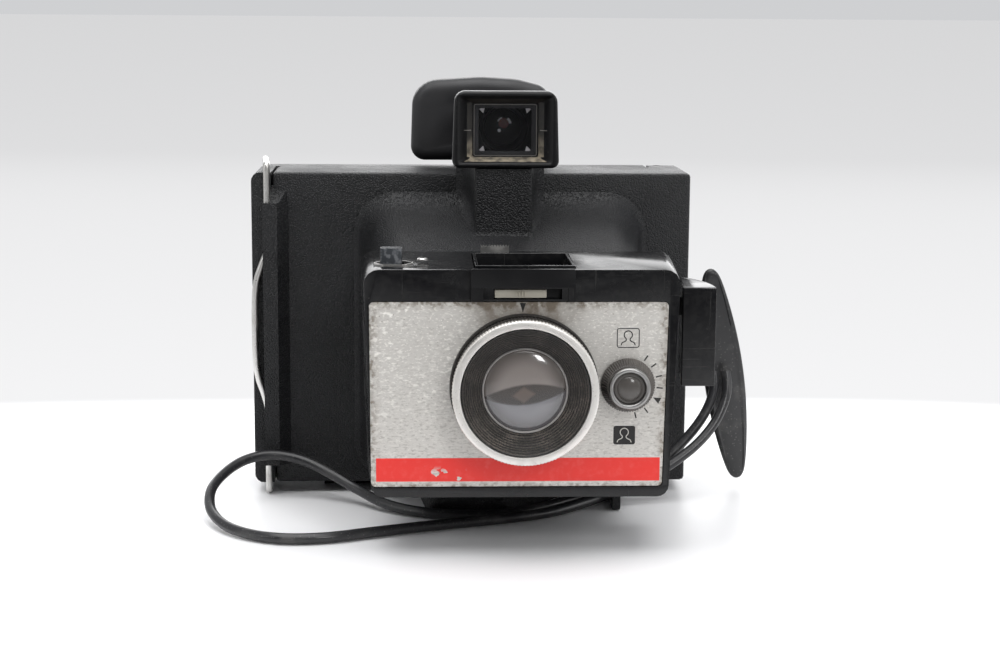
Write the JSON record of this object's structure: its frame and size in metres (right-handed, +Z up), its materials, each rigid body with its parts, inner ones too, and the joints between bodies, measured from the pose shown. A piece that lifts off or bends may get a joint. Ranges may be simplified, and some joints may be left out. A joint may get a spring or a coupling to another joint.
{
  "type": "instant camera",
  "caption": "Instant pack-film camera with cone, focusing lens, viewfinder, flash-cube well, wire latch, hinged back door and a looped strap with toggle.",
  "frame": {"origin": "bottom centre of the camera without its strap and toggle, on the surface it stands on", "axes": "+Z up, the lens faces -Y, +X is to the right of a person facing the lens"},
  "size_m": [0.2243, 0.155, 0.1716],
  "materials": {
    "pebbled_black": "moulded black plastic with a fine pebbled grain",
    "smooth_black": "polished black plastic with fine scratches",
    "matte_black": "smooth matte black plastic",
    "brushed_plate": "brushed silver plate with a red stripe, speckled with age",
    "silver_ring": "satin bright metal",
    "steel": "bright steel",
    "lens_glass": "clear polished optical plastic and glass",
    "cream_plastic": "off-white plastic",
    "circuit_board": "brown circuit board",
    "copper_wire": "copper winding",
    "cell_case": "plain cell case",
    "brass_strip": "spring brass",
    "strap_rubber": "black moulded strap plastic with a soft sheen",
    "foam_seal": "black foam"
  },
  "bodies": {
    "root": {"body_shell": "pebbled_black", "lens_cone": "pebbled_black", "front_housing": "smooth_black", "face_plate": "brushed_plate", "lens_base_ring": "smooth_black", "lens_tube": "matte_black", "photocell": "copper_wire", "flash_well": "smooth_black", "flash_socket": "matte_black", "flash_contact_left": "brass_strip", "flash_contact_right": "brass_strip", "flash_bezel": "smooth_black", "release_eyelet": "steel", "shutter_base_plate": "matte_black", "shutter_cover": "matte_black", "blade_pivot": "steel", "magnet_coil": "copper_wire", "magnet_core": "steel", "circuit_board": "circuit_board", "timing_capacitor": "cell_case", "cell_a": "cell_case", "cell_b": "cell_case", "battery_contact_top": "brass_strip", "battery_contact_bottom": "brass_strip", "housing_back": "matte_black", "finder_tunnel": "pebbled_black", "finder_front_frame": "smooth_black", "finder_front_lens": "lens_glass", "finder_mask": "matte_black", "finder_eyepiece": "lens_glass", "eyepiece_holder": "matte_black", "eyecup_shield": "matte_black", "film_gate": "matte_black", "roller_bracket": "steel", "back_screw_a": "steel", "back_screw_b": "steel", "strap": "strap_rubber", "strap_toggle": "strap_rubber", "hinge_pin": "steel"},
    "focus_ring_body": {"focus_ring": "smooth_black", "focus_trim_ring": "silver_ring", "front_lens": "lens_glass"},
    "lens_carriage_body": {"lens_carriage": "matte_black", "rear_lens": "lens_glass"},
    "exposure_knob_body": {"exposure_knob": "smooth_black", "exposure_knob_ring": "steel", "electric_eye_lens": "lens_glass"},
    "film_speed_slider_body": {"film_speed_slider": "cream_plastic"},
    "shutter_release_body": {"shutter_release": "smooth_black"},
    "cocking_lever_body": {"cocking_lever": "smooth_black"},
    "flash_ejector_body": {"flash_ejector": "steel"},
    "front_blade_body": {"shutter_blade_front": "silver_ring"},
    "rear_blade_body": {"shutter_blade_rear": "silver_ring"},
    "back_door_body": {"back_door": "pebbled_black", "pressure_spring": "steel", "light_seal": "foam_seal"},
    "latch_bail_body": {"latch_bail": "steel"},
    "battery_door_body": {"battery_door": "smooth_black"},
    "front_roller_body": {"spreader_roller_front": "steel"},
    "rear_roller_body": {"spreader_roller_rear": "steel"}
  },
  "joints": [
    {"name": "focus_turn", "type": "hinge", "parent": "root", "child": "focus_ring_body", "pos_m": [0.0163, -0.07, 0.0642], "axis": [0, -1, 0], "range_deg": [-60, 60]},
    {"name": "carriage_slide", "type": "slide", "parent": "root", "child": "lens_carriage_body", "axis": [0, -1, 0], "range_m": [-0.00125, 0.00125]},
    {"name": "exposure_turn", "type": "hinge", "parent": "root", "child": "exposure_knob_body", "pos_m": [0.0542, -0.066, 0.065], "axis": [0, -1, 0], "range_deg": [-48, 83]},
    {"name": "film_speed_slide", "type": "slide", "parent": "root", "child": "film_speed_slider_body", "axis": [1, 0, 0], "range_m": [0, 0.0045]},
    {"name": "release_press", "type": "slide", "parent": "root", "child": "shutter_release_body", "axis": [0, 0, -1], "range_m": [0, 0.003], "stiffness_N_per_m": 250, "springref_m": -0.002},
    {"name": "cocking_press", "type": "slide", "parent": "root", "child": "cocking_lever_body", "axis": [0, 0, -1], "range_m": [0, 0.009], "stiffness_N_per_m": 150, "springref_m": -0.004},
    {"name": "ejector_press", "type": "slide", "parent": "root", "child": "flash_ejector_body", "axis": [0, 0, -1], "range_m": [0, 0.003], "stiffness_N_per_m": 250, "springref_m": -0.002},
    {"name": "front_blade_turn", "type": "hinge", "parent": "root", "child": "front_blade_body", "pos_m": [-0.016, -0.0409, 0.056], "axis": [0, -1, 0], "range_deg": [0, 25], "stiffness_Nm_per_rad": 0.002, "springref_deg": -17.19},
    {"name": "rear_blade_turn", "type": "hinge", "parent": "root", "child": "rear_blade_body", "pos_m": [-0.016, -0.0394, 0.056], "axis": [0, -1, 0], "range_deg": [-25, 0]},
    {"name": "door_swing", "type": "hinge", "parent": "root", "child": "back_door_body", "pos_m": [0.0808, 0.0743, 0.0693], "axis": [0, 0, -1], "range_deg": [0, 95]},
    {"name": "bail_swing", "type": "hinge", "parent": "back_door_body", "child": "latch_bail_body", "pos_m": [-0.086, 0.062, 0.0693], "axis": [0, 0, -1], "range_deg": [0, 95]},
    {"name": "battery_door_swing", "type": "hinge", "parent": "root", "child": "battery_door_body", "pos_m": [0.05425, -0.0242, 0.0238], "axis": [1, 0, 0], "range_deg": [0, 85]},
    {"name": "front_roller_turn", "type": "hinge", "parent": "root", "child": "front_roller_body", "pos_m": [-0.07, 0.0516, 0.066], "axis": [0, 0, 1], "continuous": true},
    {"name": "rear_roller_turn", "type": "hinge", "parent": "root", "child": "rear_roller_body", "pos_m": [-0.07, 0.06, 0.066], "axis": [0, 0, 1], "continuous": true}
  ],
  "couplings": [
    {"joint": "carriage_slide", "follows": "focus_turn", "m_per_rad": 0.00114},
    {"joint": "rear_blade_turn", "follows": "front_blade_turn", "ratio": -1},
    {"joint": "rear_roller_turn", "follows": "front_roller_turn", "ratio": -1}
  ]
}
